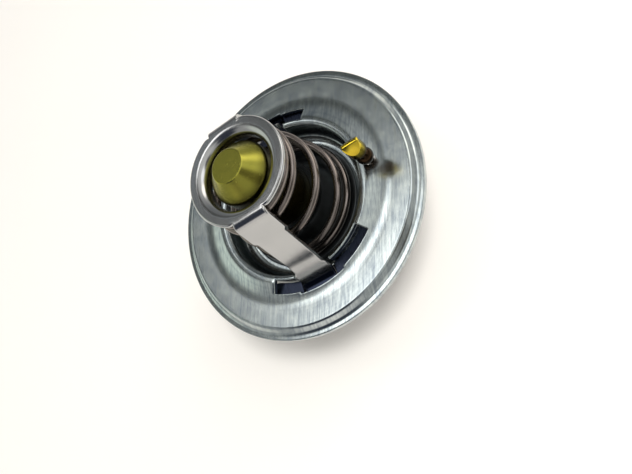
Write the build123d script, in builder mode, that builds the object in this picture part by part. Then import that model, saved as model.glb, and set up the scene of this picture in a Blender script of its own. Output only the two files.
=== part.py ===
from build123d import *
import os
from math import atan2, cos, hypot, pi, radians, sin, sqrt, tan

# Wax-pellet engine thermostat, in millimetres.
# Origin: centre of the flange, on the rim face that looks towards the wax pellet.
# +Z runs along the axis towards the pellet, and the legs of the spring frame lie on X.

# Flange: one steel stamping that carries everything else.
# Its radii are lands added outwards from the valve seat, and come to 27 mm at the rim.
flange_sheet = 1.0
rim_width = 1.1
step_width = 1.0
ridge_z = 1.1
dish_margin = 0.55
dish_z = 0.8
lip_land = 0.8
lip_z = 1.75
valve_cup_clear = 2.3
cup_draft = 0.1
seat_r = 11.0
seat_z = -3.5
step_bend = 0.8
dish_bend = 9.0
lip_foot_bend = 2.2
lip_bend = 1.3
cup_bend = 2.0

# Arc slots in the flange, one for each leg
slot_width = 2.6
slot_start_angle = -29.5
slot_span_angle = 72.0
slot_wide_step = 0.35
slot_wide_start_angle = -12.0
slot_wide_span_angle = 30.0
slot_corner = 0.4
leg_notch_clear = 0.4
leg_notch_depth = 3.3
cut_overlap = 1.0

# Spring frame: ring, turned-down neck and two hooked legs
frame_sheet = 1.0
ring_margin = 0.4
ring_z = 18.2
neck_case_clear = 0.9
neck_length = 2.6
neck_bend = 1.8
ring_edge_round = 0.42
leg_width = 6.8
leg_waist = 5.8
leg_root_overhang = 0.1
waist_top_z = 13.2
waist_foot_z = 2.4
leg_foot_reach = 0.3
leg_bend = 1.4
leg_lap = 0.5
leg_relief = 0.25
hook_gap = 0.05
hook_catch = 0.65
hook_bend = 3.0
hook_corner = 0.9

# Bridge: strap, foot pads and pressed nose on the outlet side
bridge_sheet = 1.2
pad_cup_clear = 0.3
pad_land = 2.3
pad_rim_clear = 1.7
pad_margin_angle = 4.0
pad_corner = 1.2
hook_window_clear = 0.4
strap_width = 10.8
strap_root_margin = 1.0
strap_crown_x = 13.2
crown_depth = 13.8
strap_root_bend = 1.8
strap_crown_bend = 3.5
nose_blend_r = 4.9
nose_r = 3.2
nose_tip_r = 2.5
nose_depth = 3.4
nose_bend = 0.8

# Main spring: conical, with one closed turn at each end
wire_d = 1.5
spring_neck_clear = 0.3
spring_valve_margin = 0.55
spring_turns = 4.65
closed_turns = 1.0
ramp_turns = 0.3
closed_gap = 0.02
spring_end_angle = 150.0
points_per_turn = 12
pitch_steps = 20

# Main valve: flat disc with a raised hub
valve_sheet = 0.9
valve_lap = 1.6
hub_foot_reach = 2.0
hub_shoulder_z = 1.0
hub_top_z = 3.1
hub_bend = 1.0
valve_edge_round = 0.3

# Wax element: case, cover, rubber parts and wax
case_r = 5.9
case_wall = 0.9
case_end_r = 3.1
case_end_z = 20.2
case_shoulder_z = 16.9
case_end_round = 0.3
case_shoulder_round = 1.2
case_skirt_r = 6.9
skirt_wall = 0.8
crimp_inner_r = 4.8
case_step = 0.85
guide_flange = 1.2
guide_reach = 3.4
guide_neck_r = 4.0
guide_seal_r = 3.3
guide_seal_depth = 1.3
guide_chamfer = 0.6
washer_thickness = 0.6
sleeve_flange = 1.1
sleeve_wall = 1.3
sleeve_end = 0.8
piston_r = 2.0
piston_end_z = 8.6
piston_taper = 3.0
piston_taper_r = 1.6
piston_foot_chamfer = 0.5
bore_clearance = 0.04
rubber_clearance = 0.1
fit_clearance = 0.05
end_clearance = 0.3

# Jiggle pin: ball, pinched head and rivet head, loose in its hole
pin_angle = 84.0
pin_cup_clear = 0.25
pin_hole_r = 1.1
pin_shaft_r = 0.8
pin_ball_r = 1.6
pin_seat_drop = 0.2
pin_neck_r = 0.9
pin_head_r = 1.7
pin_neck_length = 1.85
pin_flare_length = 0.8
pin_head_length = 4.3
pin_pinch_length = 1.8
pin_chisel = 0.5
pin_tip_chamfer = 0.3
pin_travel = 1.5
pin_rivet_r = 1.6
pin_rivet_height = 0.9
pin_rivet_chamfer = 0.45

# Sizes that follow from the ones above
valve_r = seat_r + valve_lap
cup_r = valve_r + valve_cup_clear
slot_inner_r = cup_r + flange_sheet
slot_outer_r = slot_inner_r + slot_width
slot_wide_r = slot_outer_r + slot_wide_step
lip_r = slot_inner_r + lip_land
dish_r = slot_wide_r + dish_margin
pad_top_z = dish_z - flange_sheet
neck_r = case_r + neck_case_clear
spring_top_r = neck_r + frame_sheet + spring_neck_clear + wire_d / 2
spring_foot_r = valve_r - spring_valve_margin - wire_d / 2
closed_pitch = wire_d + closed_gap
ring_r = spring_top_r + wire_d / 2 + ring_margin
ring_under_z = ring_z - frame_sheet
leg_root_x = ring_r + leg_root_overhang
leg_foot_x = slot_inner_r + leg_foot_reach
hook_top_z = pad_top_z - hook_gap
hook_tip_x = slot_wide_r + hook_catch
leg_lean = atan2(ring_z - hook_top_z, leg_foot_x - leg_root_x)
leg_bend_x = leg_root_x - leg_bend * tan(leg_lean / 2)
waist_depth = (leg_width - leg_waist) / 2
pad_inner_r = slot_inner_r + pad_cup_clear
window_end_x = hook_tip_x + hook_window_clear
strap_root_x = window_end_x + strap_root_margin
pad_outer_r = strap_root_x + pad_land
ridge_r = pad_outer_r + pad_rim_clear
rim_inner_r = ridge_r + step_width
flange_r = rim_inner_r + rim_width
valve_face_z = seat_z + valve_sheet
hub_outer_r = case_r + fit_clearance + valve_sheet
hub_foot_r = case_skirt_r + hub_foot_reach
hub_slope = (hub_shoulder_z - valve_face_z) / (hub_foot_r - hub_outer_r)
strap_crown_z = pad_top_z - crown_depth
nose_floor_z = strap_crown_z - nose_depth
case_bore_r = case_r - case_wall
skirt_bore_r = case_skirt_r - skirt_wall
hub_over_skirt_z = hub_shoulder_z - (case_skirt_r - hub_outer_r) * hub_slope
skirt_top_z = hub_over_skirt_z - valve_sheet * hypot(1, hub_slope) - fit_clearance
sleeve_top_z = skirt_top_z - case_step
washer_top_z = sleeve_top_z - sleeve_flange
guide_flange_z = washer_top_z - washer_thickness
guide_seat_z = guide_flange_z - guide_flange
crimp_z = guide_seat_z - skirt_wall
guide_foot_z = crimp_z - guide_reach
sleeve_bore_r = piston_r + rubber_clearance
sleeve_r = sleeve_bore_r + sleeve_wall
sleeve_end_z = piston_end_z + end_clearance + sleeve_end
pin_circle_r = slot_inner_r + pin_cup_clear + pin_rivet_r
pin_x = pin_circle_r * cos(radians(pin_angle))
pin_y = pin_circle_r * sin(radians(pin_angle))
pin_ball_z = lip_z - pin_seat_drop + pin_ball_r
pin_head_foot_z = pin_ball_z + pin_neck_length
pin_tip_z = pin_head_foot_z + pin_head_length
pin_rivet_z = pad_top_z - end_clearance - pin_travel

pick_margin = 0.01

os.makedirs("parts", exist_ok=True)


def folded_sheet(points, radii, thickness):
    """Section of a folded sheet: its face line runs through the points, with bends of the radii.

    The sheet lies on the left of the line where its thickness is positive, and on the right otherwise.
    """
    face = [Vector(*point) for point in points]
    runs = [(end - start).normalized() for start, end in zip(face, face[1:])]
    lefts = [Vector(-run.Y, run.X) for run in runs]
    corners = [(a + b) / (1 + a.dot(b)) for a, b in zip(lefts, lefts[1:])]
    shifts = [lefts[0], *corners, lefts[-1]]
    back = [point + shift * thickness for point, shift in zip(face, shifts)]
    turns = [1 if a.cross(b).Z > 0 else -1 for a, b in zip(runs, runs[1:])]
    back_radii = [max(radius - turn * thickness, 0) for radius, turn in zip(radii, turns)]
    with BuildSketch(Plane.XZ) as section:
        with BuildLine():
            FilletPolyline(*face, radius=radii)
            FilletPolyline(*back, radius=back_radii)
            Line(face[0], back[0])
            Line(face[-1], back[-1])
        make_face()
    return section.sketch


def turned_section(points):
    """Half section of a turned piece, from its (radius, height) corners."""
    with BuildSketch(Plane.XZ) as section:
        with BuildLine():
            Polyline(*points, close=True)
        make_face()
    return section.sketch


def arc_band(inner_r, outer_r, start, span, z, corner):
    """Flat band between two arcs about the axis, with radial ends and rounded corners."""
    with BuildSketch(Plane.XY.offset(z)) as band:
        with BuildLine():
            outer = CenterArc((0, 0), outer_r, start, span)
            inner = CenterArc((0, 0), inner_r, start, span)
            Line(outer @ 0, inner @ 0)
            Line(outer @ 1, inner @ 1)
        make_face()
        fillet(band.vertices(), radius=corner)
    return band.sketch


def outer_circles(part, radius):
    """Circular edges of a turned piece at the given radius, from the lowest up."""
    circles = part.edges().filter_by(GeomType.CIRCLE)
    return circles.filter_by(lambda edge: abs(edge.radius - radius) < pick_margin).sort_by(Axis.Z)


# Flange: the face towards the pellet runs in from the rim, up the step, over the lip and down the cup
flange_line = [
    (flange_r, 0),
    (rim_inner_r, 0),
    (ridge_r, ridge_z),
    (dish_r, dish_z),
    (lip_r, lip_z),
    (cup_r + cup_draft, lip_z),
    (cup_r, seat_z),
    (seat_r, seat_z),
]
flange_bends = [step_bend, step_bend, dish_bend, lip_foot_bend, lip_bend, cup_bend]
slot_foot_z = pad_top_z - cut_overlap
slot_depth = lip_z + cut_overlap - slot_foot_z
with BuildPart() as flange:
    revolve(folded_sheet(flange_line, flange_bends, flange_sheet), axis=Axis.Z)
    for turn in (0, 180):
        for outer_r, start, span in (
            (slot_outer_r, slot_start_angle, slot_span_angle),
            (slot_wide_r, slot_wide_start_angle, slot_wide_span_angle),
        ):
            slot = arc_band(slot_inner_r, outer_r, start + turn, span, slot_foot_z, slot_corner)
            extrude(slot, amount=slot_depth, mode=Mode.SUBTRACT)
    with BuildSketch(Plane.XY.offset(lip_z - leg_notch_depth)):
        Rectangle(2 * (slot_inner_r + slot_corner), leg_width + 2 * leg_notch_clear)
        Rectangle(2 * (cup_r - cut_overlap), leg_width + 2 * leg_notch_clear, mode=Mode.SUBTRACT)
    extrude(amount=leg_notch_depth + cut_overlap, mode=Mode.SUBTRACT)
    with BuildSketch(Plane.XY.offset(slot_foot_z)):
        with Locations((pin_x, pin_y)):
            Circle(pin_hole_r)
    extrude(amount=slot_depth, mode=Mode.SUBTRACT)
flange.part.label = "flange"
export_step(flange.part, "parts/flange.step")

# Spring frame: a leg is a folded strip with a waist, and the ring has a drawn neck
leg_line = [
    (leg_bend_x - leg_lap, ring_z),
    (leg_root_x, ring_z),
    (leg_foot_x, hook_top_z),
    (hook_tip_x, hook_top_z),
]
with BuildPart() as leg:
    leg_section = folded_sheet(leg_line, [leg_bend, hook_bend], -frame_sheet)
    extrude(leg_section, amount=leg_width / 2, both=True)
    with BuildSketch(Plane.YZ):
        for side in (-1, 1):
            with BuildLine():
                Polyline(
                    (side * leg_width / 2, waist_foot_z),
                    (side * leg_waist / 2, waist_foot_z + waist_depth),
                    (side * leg_waist / 2, waist_top_z - waist_depth),
                    (side * leg_width / 2, waist_top_z),
                    close=True,
                )
            make_face()
    extrude(amount=hook_tip_x, mode=Mode.SUBTRACT)
    hook_corners = leg.edges().filter_by(Axis.Z).group_by(Axis.X)[-1]
    fillet(hook_corners, radius=hook_corner)

ring_line = [(ring_r, ring_z), (neck_r, ring_z), (neck_r, ring_z - neck_length)]
with BuildPart() as spring_frame:
    revolve(folded_sheet(ring_line, [neck_bend], frame_sheet), axis=Axis.Z)
    fillet(outer_circles(spring_frame, ring_r), radius=ring_edge_round)
    with BuildSketch(Plane.XY.offset(ring_under_z)):
        Rectangle(2 * (ring_r + cut_overlap), leg_width + 2 * leg_relief)
        Rectangle(2 * leg_bend_x, leg_width + 2 * leg_relief, mode=Mode.SUBTRACT)
    extrude(amount=frame_sheet, mode=Mode.SUBTRACT)
    add(leg.part)
    add(leg.part.rotate(Axis.Z, 180))
spring_frame.part.label = "spring_frame"
export_step(spring_frame.part, "parts/spring_frame.step")

# Bridge: two foot pads close the slots from below, and the strap arches between them to the nose
strap_line = [
    (pad_outer_r, pad_top_z),
    (strap_root_x, pad_top_z),
    (strap_crown_x, strap_crown_z),
    (0, strap_crown_z),
]
nose_line = [
    (nose_blend_r, strap_crown_z),
    (nose_r, strap_crown_z),
    (nose_tip_r, nose_floor_z),
    (0, nose_floor_z),
]
with BuildPart() as bridge:
    strap_section = folded_sheet(strap_line, [strap_root_bend, strap_crown_bend], bridge_sheet)
    extrude(strap_section, amount=strap_width / 2, both=True)
    mirror(about=Plane.YZ)
    for turn in (0, 180):
        pad = arc_band(
            pad_inner_r,
            pad_outer_r,
            slot_start_angle - pad_margin_angle + turn,
            slot_span_angle + 2 * pad_margin_angle,
            pad_top_z - bridge_sheet,
            pad_corner,
        )
        extrude(pad, amount=bridge_sheet)
    with BuildSketch(Plane.XY.offset(pad_top_z - bridge_sheet)):
        Rectangle(2 * window_end_x, leg_width + 2 * hook_window_clear)
        Rectangle(2 * (pad_inner_r - cut_overlap), strap_width, mode=Mode.SUBTRACT)
    extrude(amount=bridge_sheet, mode=Mode.SUBTRACT)
    with BuildSketch(Plane.XY.offset(strap_crown_z)):
        Circle(nose_blend_r)
    extrude(amount=-bridge_sheet, mode=Mode.SUBTRACT)
    revolve(folded_sheet(nose_line, [nose_bend, nose_bend], bridge_sheet), axis=Axis.Z)
bridge.part.label = "bridge"
export_step(bridge.part, "parts/bridge.step")


def spring_path():
    """Points of the wire's centre line, from the ring's seat down to the valve's."""
    top_z = ring_under_z - wire_d / 2
    drop = top_z - (valve_face_z + wire_d / 2)
    open_turns = spring_turns - 2 * closed_turns - 2 * ramp_turns
    open_drop = drop - closed_pitch * (2 * closed_turns + ramp_turns)
    open_pitch = open_drop / (open_turns + ramp_turns)
    points = []
    steps = round(spring_turns * points_per_turn)
    small_turn = spring_turns / steps / pitch_steps
    turn, z = 0.0, top_z
    for step in range(steps + 1):
        radius = spring_top_r + (spring_foot_r - spring_top_r) * (top_z - z) / drop
        angle = radians(spring_end_angle) - 2 * pi * turn
        points.append((radius * cos(angle), radius * sin(angle), z))
        for _ in range(pitch_steps):
            middle = turn + small_turn / 2
            inside = min(middle, spring_turns - middle) - closed_turns
            share = min(max(inside / ramp_turns, 0.0), 1.0)
            z -= (closed_pitch + share * (open_pitch - closed_pitch)) * small_turn
            turn += small_turn
    return points


# Main spring: seated between the ring and the valve
with BuildPart() as main_spring:
    with BuildLine() as wire:
        Spline(*spring_path())
    with BuildSketch(Plane(origin=wire.line @ 0, z_dir=wire.line % 0)):
        Circle(wire_d / 2)
    sweep(path=wire.line, is_frenet=True)
main_spring.part.label = "main_spring"
export_step(main_spring.part, "parts/main_spring.step")

# Main valve: the hub is a press fit on the case and bears on its skirt
valve_line = [
    (hub_outer_r, hub_top_z),
    (hub_outer_r, hub_shoulder_z),
    (hub_foot_r, valve_face_z),
    (valve_r, valve_face_z),
]
with BuildPart() as main_valve:
    revolve(folded_sheet(valve_line, [hub_bend, hub_bend], -valve_sheet), axis=Axis.Z)
    fillet(outer_circles(main_valve, valve_r)[-1], radius=valve_edge_round)
main_valve.part.label = "main_valve"
export_step(main_valve.part, "parts/main_valve.step")

# Wax case: flat end, cone, cylinder, then a wider skirt crimped in under the cover
case_points = [
    (0, case_end_z),
    (case_end_r, case_end_z),
    (case_r, case_shoulder_z),
    (case_r, skirt_top_z),
    (case_skirt_r, skirt_top_z),
    (case_skirt_r, crimp_z),
    (crimp_inner_r, crimp_z),
    (crimp_inner_r, guide_seat_z),
    (skirt_bore_r, guide_seat_z),
    (skirt_bore_r, sleeve_top_z),
    (case_bore_r, sleeve_top_z),
    (case_bore_r, case_shoulder_z - case_wall / 2),
    (case_end_r - case_wall / 2, case_end_z - case_wall),
    (0, case_end_z - case_wall),
]
with BuildPart() as wax_case:
    revolve(turned_section(case_points), axis=Axis.Z)
    fillet(outer_circles(wax_case, case_skirt_r)[0], radius=skirt_wall / 2)
    fillet(outer_circles(wax_case, case_end_r), radius=case_end_round)
    fillet(outer_circles(wax_case, case_r)[-1], radius=case_shoulder_round)
wax_case.part.label = "wax_case"
export_step(wax_case.part, "parts/wax_case.step")

# Piston guide: the case's turned cover, bored for the piston, with a pocket for its seal
guide_bore_r = piston_r + bore_clearance
guide_flange_r = skirt_bore_r - fit_clearance
guide_points = [
    (guide_bore_r, guide_foot_z),
    (guide_neck_r, guide_foot_z),
    (guide_neck_r, guide_seat_z),
    (guide_flange_r, guide_seat_z),
    (guide_flange_r, guide_flange_z),
    (guide_seal_r, guide_flange_z),
    (guide_seal_r, guide_flange_z - guide_seal_depth),
    (guide_bore_r, guide_flange_z - guide_seal_depth),
]
with BuildPart() as piston_guide:
    revolve(turned_section(guide_points), axis=Axis.Z)
    chamfer(outer_circles(piston_guide, guide_neck_r)[0], length=guide_chamfer)
piston_guide.part.label = "piston_guide"
export_step(piston_guide.part, "parts/piston_guide.step")

# Piston seal: rubber ring in the guide's pocket, closed by the washer above it
with BuildPart() as piston_seal:
    with BuildSketch(Plane.XY.offset(guide_flange_z - guide_seal_depth)):
        Circle(guide_seal_r - fit_clearance)
        Circle(piston_r + rubber_clearance, mode=Mode.SUBTRACT)
    extrude(amount=guide_seal_depth)
piston_seal.part.label = "piston_seal"
export_step(piston_seal.part, "parts/piston_seal.step")

# Backup washer: keeps the sleeve's rubber out of the bore
with BuildPart() as backup_washer:
    with BuildSketch(Plane.XY.offset(guide_flange_z)):
        Circle(guide_flange_r)
        Circle(piston_r + rubber_clearance, mode=Mode.SUBTRACT)
    extrude(amount=washer_thickness)
backup_washer.part.label = "backup_washer"
export_step(backup_washer.part, "parts/backup_washer.step")

# Elastomer sleeve: a closed boot round the piston, with a flange clamped under the case's step
sleeve_points = [
    (sleeve_bore_r, washer_top_z),
    (guide_flange_r, washer_top_z),
    (guide_flange_r, sleeve_top_z),
    (sleeve_r, sleeve_top_z),
    (sleeve_r, sleeve_end_z),
    (0, sleeve_end_z),
    (0, piston_end_z + end_clearance),
    (sleeve_bore_r, piston_end_z + end_clearance),
]
with BuildPart() as elastomer_sleeve:
    revolve(turned_section(sleeve_points), axis=Axis.Z)
    fillet(outer_circles(elastomer_sleeve, sleeve_r)[-1], radius=sleeve_end)
elastomer_sleeve.part.label = "elastomer_sleeve"
export_step(elastomer_sleeve.part, "parts/elastomer_sleeve.step")

# Wax charge: fills the case round the sleeve
wax_r = case_bore_r - fit_clearance
wax_points = [
    (sleeve_r + fit_clearance, sleeve_top_z),
    (wax_r, sleeve_top_z),
    (wax_r, case_shoulder_z - case_wall / 2),
    (case_end_r - case_wall / 2 - fit_clearance, case_end_z - case_wall - fit_clearance),
    (0, case_end_z - case_wall - fit_clearance),
    (0, sleeve_end_z + fit_clearance),
    (sleeve_r + fit_clearance, sleeve_end_z + fit_clearance),
]
with BuildPart() as wax_charge:
    revolve(turned_section(wax_points), axis=Axis.Z)
wax_charge.part.label = "wax_charge"
export_step(wax_charge.part, "parts/wax_charge.step")

# Piston: stands in the bridge's nose, and tapers at the end that the sleeve grips
piston_points = [
    (0, nose_floor_z),
    (piston_r - piston_foot_chamfer, nose_floor_z),
    (piston_r, nose_floor_z + piston_foot_chamfer),
    (piston_r, piston_end_z - piston_taper),
    (piston_taper_r, piston_end_z),
    (0, piston_end_z),
]
with BuildPart() as piston:
    revolve(turned_section(piston_points), axis=Axis.Z)
piston.part.label = "piston"
export_step(piston.part, "parts/piston.step")

# Jiggle pin: a turned pin, then a head pinched to a chisel between two flats
ball_neck_z = pin_ball_z + sqrt(pin_ball_r**2 - pin_neck_r**2)
ball_shaft_z = pin_ball_z - sqrt(pin_ball_r**2 - pin_shaft_r**2)
rivet_foot_z = pin_rivet_z - pin_rivet_height
pin_plane = Plane(origin=(pin_x, pin_y, 0), x_dir=(1, 0, 0), z_dir=(0, -1, 0))
with BuildPart() as jiggle_pin:
    with BuildSketch(pin_plane):
        with BuildLine():
            Polyline(
                (0, rivet_foot_z),
                (pin_rivet_r - pin_rivet_chamfer, rivet_foot_z),
                (pin_rivet_r, rivet_foot_z + pin_rivet_chamfer),
                (pin_rivet_r, pin_rivet_z),
                (pin_shaft_r, pin_rivet_z),
                (pin_shaft_r, ball_shaft_z),
            )
            ThreePointArc(
                (pin_shaft_r, ball_shaft_z), (pin_ball_r, pin_ball_z), (pin_neck_r, ball_neck_z)
            )
            Polyline(
                (pin_neck_r, ball_neck_z),
                (pin_neck_r, pin_head_foot_z),
                (pin_head_r, pin_head_foot_z + pin_flare_length),
                (pin_head_r, pin_tip_z - pin_tip_chamfer),
                (pin_head_r - pin_tip_chamfer, pin_tip_z),
                (0, pin_tip_z),
                (0, rivet_foot_z),
            )
        make_face()
    revolve(axis=Axis((pin_x, pin_y, 0), (0, 0, 1)))
    flat_run = pin_head_r - pin_chisel / 2
    for side in (-1, 1):
        flat_foot = (pin_x + side * pin_head_r, pin_y, pin_tip_z - pin_pinch_length)
        flat = Plane(origin=flat_foot, z_dir=(side * pin_pinch_length, 0, flat_run))
        split(bisect_by=flat, keep=Keep.BOTTOM)
jiggle_pin.part.label = "jiggle_pin"
export_step(jiggle_pin.part, "parts/jiggle_pin.step")
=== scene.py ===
"""Engine thermostat with a wax element: the looks of its pieces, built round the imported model.

Lengths are millimetres in the part's own frame until a mesh is finished, when it is scaled to metres.
The origin is the centre of the flange, +Z points to the wax case, and the frame's legs lie on X.
"""

from __future__ import annotations

import logging
import math
from dataclasses import dataclass
from enum import Enum
from typing import Callable, Sequence

import bmesh
import bpy
from mathutils import Matrix, Vector

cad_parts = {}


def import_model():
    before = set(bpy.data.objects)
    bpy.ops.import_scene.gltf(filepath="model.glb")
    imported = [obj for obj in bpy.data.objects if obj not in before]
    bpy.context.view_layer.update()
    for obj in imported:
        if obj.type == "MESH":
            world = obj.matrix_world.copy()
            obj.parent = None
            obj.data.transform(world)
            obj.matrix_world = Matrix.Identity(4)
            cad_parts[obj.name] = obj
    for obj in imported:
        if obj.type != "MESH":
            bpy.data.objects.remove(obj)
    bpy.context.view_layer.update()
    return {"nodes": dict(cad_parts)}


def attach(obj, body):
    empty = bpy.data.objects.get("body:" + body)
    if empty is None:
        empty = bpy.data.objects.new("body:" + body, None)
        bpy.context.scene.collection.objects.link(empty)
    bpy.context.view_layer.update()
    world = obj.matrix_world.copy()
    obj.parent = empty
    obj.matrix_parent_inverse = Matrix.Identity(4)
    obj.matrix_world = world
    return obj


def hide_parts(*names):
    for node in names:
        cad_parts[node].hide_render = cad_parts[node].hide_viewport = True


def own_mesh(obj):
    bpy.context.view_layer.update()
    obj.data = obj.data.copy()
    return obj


LOG = logging.getLogger("thermostat")

# Metres in one millimetre
MM = 0.001
# Points closer than this are welded
WELD_MM = 0.0005
# A radius or step below this counts as none
AXIS_MM = 1e-6
# Flat sheet kept beside a bend, so that the flat shades as flat
SUPPORT_MM = 0.08
# A corner that turns by less than this, in radians, is straight
STRAIGHT_RAD = 1e-4
# Angles this close, in degrees, are the same
SAME_DEGREES = 1e-6
# Two corners of a sheet are one where they agree to this many digits of a millimetre
KEY_DIGITS = 3

# How far noise is drawn out along each axis: the smaller the number, the longer the marks
EVEN = (1.0, 1.0, 1.0)
ALONG_STRIP = (0.03, 1.0, 0.03)
ALONG_WIRE = (1.0, 0.02, 1.0)
ALONG_GRAIN = (0.11, 1.2, 0.11)
# The flange's sheet was rolled 20 degrees off the line between the legs
GRAIN_TURN = math.radians(20)
# Share of the rolled grain in the marks of the flange; the press left the rest, as rings
GRAIN_SHARE = 0.7
# Levels of the marks between which the roughness changes
MARKS_LOW, MARKS_HIGH = 0.3, 0.7
# Levels of the marks between which they change the colour
LINES_LOW, LINES_HIGH = 0.35, 0.65
# The marks never bring the roughness below this
LEAST_ROUGHNESS = 0.02

Line = list[Vector]
Pairs = list[tuple[Vector, Vector]]


def srgb(hex_colour: str) -> tuple[float, float, float, float]:
    """Turns an sRGB hex colour to the linear colour that a node takes.

    Args:
        hex_colour: Six hex digits with a leading hash.

    Returns:
        Linear red, green, blue and an alpha of one.
    """
    parts = [int(hex_colour[i : i + 2], 16) / 255 for i in (1, 3, 5)]
    linear = [p / 12.92 if p <= 0.04045 else ((p + 0.055) / 1.055) ** 2.4 for p in parts]
    return (*linear, 1.0)


def add_node(
    tree: bpy.types.NodeTree,
    kind: str,
    settings: dict[str, object] | None = None,
    inputs: dict[str | int, object] | None = None,
) -> bpy.types.Node:
    """Adds a node with its settings, and sets or links its inputs.

    Args:
        tree: The shader or geometry tree that gets the node.
        kind: Blender's name of the node type.
        settings: Properties of the node.
        inputs: Values or output sockets, by the input's name or number.

    Returns:
        The new node.
    """
    node = tree.nodes.new(kind)
    for name, value in (settings or {}).items():
        setattr(node, name, value)
    for key, value in (inputs or {}).items():
        if isinstance(value, bpy.types.NodeSocket):
            tree.links.new(value, node.inputs[key])
        else:
            node.inputs[key].default_value = value
    return node


class Pattern(Enum):
    """How a surface was made, which says what marks it carries and which way they run."""

    ROLLED_SHEET = "rolled sheet"
    TURNED = "turned"
    DRAWN_STRIP = "drawn strip"
    DRAWN_WIRE = "drawn wire"
    MOULDED = "moulded"


@dataclass(frozen=True)
class PaintedShade:
    """Painted shade: a darker colour on the part of a piece below a height, where it lies in shade."""

    colour: str
    full_z_mm: float
    clear_z_mm: float


@dataclass(frozen=True)
class Finish:
    """One finish: what the surface is made of, its colours, its gloss and the marks of its making.

    The pitch and the depth are those of the marks, and cloud_mm is the width of the mottling, whose other
    colour is clouds. The pitches are chosen so that the marks show in a picture of the whole part.
    """

    name: str
    pattern: Pattern
    colour: str
    clouds: str
    roughness: float
    roughness_spread: float
    pitch_mm: float
    depth_mm: float
    cloud_mm: float
    metallic: float = 1.0
    # Painted shade on the lower part of the piece, if it has any
    painted_shade: PaintedShade | None = None
    marks_shade: float = 0.0

    def material(self) -> bpy.types.Material:
        """Builds the material of this finish.

        Returns:
            A material whose colour, roughness and bump follow the marks of its making.
        """
        material = bpy.data.materials.new(self.name)
        material.use_nodes = True
        tree = material.node_tree
        tree.nodes.clear()
        place = add_node(tree, "ShaderNodeTexCoord").outputs["Object"]
        marks = self.marks(tree, place)
        colour = add_node(
            tree,
            "ShaderNodeMix",
            {"data_type": "RGBA"},
            {0: self.mottling(tree, place, marks), 6: srgb(self.colour), 7: srgb(self.clouds)},
        )
        # Painted shade: below a height the colour fades to a darker one
        if self.painted_shade is not None:
            colour = self.paint_shade_below(tree, place, colour.outputs[2], self.painted_shade)
        roughness = add_node(
            tree,
            "ShaderNodeMapRange",
            inputs={
                "Value": marks,
                "From Min": MARKS_LOW,
                "From Max": MARKS_HIGH,
                "To Min": max(self.roughness - self.roughness_spread, LEAST_ROUGHNESS),
                "To Max": self.roughness + self.roughness_spread,
            },
        )
        bump = add_node(
            tree,
            "ShaderNodeBump",
            inputs={"Height": marks, "Strength": 1.0, "Distance": self.depth_mm * MM},
        )
        shader = add_node(
            tree,
            "ShaderNodeBsdfPrincipled",
            inputs={
                "Base Color": colour.outputs[2],
                "Metallic": self.metallic,
                "Roughness": roughness.outputs["Result"],
                "Normal": bump.outputs["Normal"],
            },
        )
        add_node(tree, "ShaderNodeOutputMaterial", inputs={"Surface": shader.outputs["BSDF"]})
        return material

    def mottling(
        self, tree: bpy.types.NodeTree, place: bpy.types.NodeSocket, marks: bpy.types.NodeSocket
    ) -> bpy.types.NodeSocket:
        """Mixes the two colours in soft clouds, and in lines too where the marks show as colour.

        Args:
            tree: The material's tree.
            place: Object coordinates, in metres.
            marks: Height of the marks of the making.

        Returns:
            A socket with the share of the second colour.
        """
        clouds = add_node(
            tree,
            "ShaderNodeTexNoise",
            inputs={"Vector": place, "Scale": 1 / (self.cloud_mm * MM), "Detail": 3.0, "Roughness": 0.55},
        )
        if not self.marks_shade:
            return clouds.outputs["Fac"]
        lines = add_node(
            tree,
            "ShaderNodeMapRange",
            inputs={
                "Value": marks,
                "From Min": LINES_LOW,
                "From Max": LINES_HIGH,
                "To Min": -self.marks_shade,
                "To Max": self.marks_shade,
            },
        )
        both = add_node(
            tree,
            "ShaderNodeMath",
            {"operation": "ADD"},
            {0: clouds.outputs["Fac"], 1: lines.outputs["Result"]},
        )
        return both.outputs[0]

    @staticmethod
    def paint_shade_below(
        tree: bpy.types.NodeTree,
        place: bpy.types.NodeSocket,
        colour: bpy.types.NodeSocket,
        painted_shade: PaintedShade,
    ) -> bpy.types.Node:
        """Paints shade on the lower part of a piece by darkening its colour there.

        Args:
            tree: The material's tree.
            place: Object coordinates, in metres.
            colour: The colour without the painted shade.
            painted_shade: The painted shade's colour and the heights where it lies.

        Returns:
            The node that mixes both.
        """
        height = add_node(tree, "ShaderNodeSeparateXYZ", inputs={0: place}).outputs["Z"]
        unshaded = add_node(
            tree,
            "ShaderNodeMapRange",
            {"interpolation_type": "SMOOTHSTEP"},
            {"Value": height, "From Min": painted_shade.full_z_mm * MM, "From Max": painted_shade.clear_z_mm * MM},
        )
        return add_node(
            tree,
            "ShaderNodeMix",
            {"data_type": "RGBA"},
            {0: unshaded.outputs["Result"], 6: srgb(painted_shade.colour), 7: colour},
        )

    def marks(self, tree: bpy.types.NodeTree, place: bpy.types.NodeSocket) -> bpy.types.NodeSocket:
        """Height of the marks that the making left.

        Args:
            tree: The material's tree.
            place: Object coordinates, in metres.

        Returns:
            A socket with the height, from about 0 to 1.
        """
        if self.pattern is Pattern.MOULDED:
            return self.noise(tree, place, EVEN)
        if self.pattern is Pattern.DRAWN_STRIP:
            return self.noise(tree, place, ALONG_STRIP)
        if self.pattern is Pattern.DRAWN_WIRE:
            return self.noise(tree, self.wire_place(tree), ALONG_WIRE)
        rings = self.noise(tree, self.ring_place(tree, place), EVEN)
        if self.pattern is Pattern.TURNED:
            return rings
        turned = add_node(
            tree,
            "ShaderNodeVectorRotate",
            {"rotation_type": "Z_AXIS"},
            {"Vector": place, "Angle": GRAIN_TURN},
        )
        grain = self.noise(tree, turned.outputs[0], ALONG_GRAIN)
        both = add_node(
            tree,
            "ShaderNodeMix",
            {"data_type": "FLOAT"},
            {0: GRAIN_SHARE, 2: rings, 3: grain},
        )
        return both.outputs[0]

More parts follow.
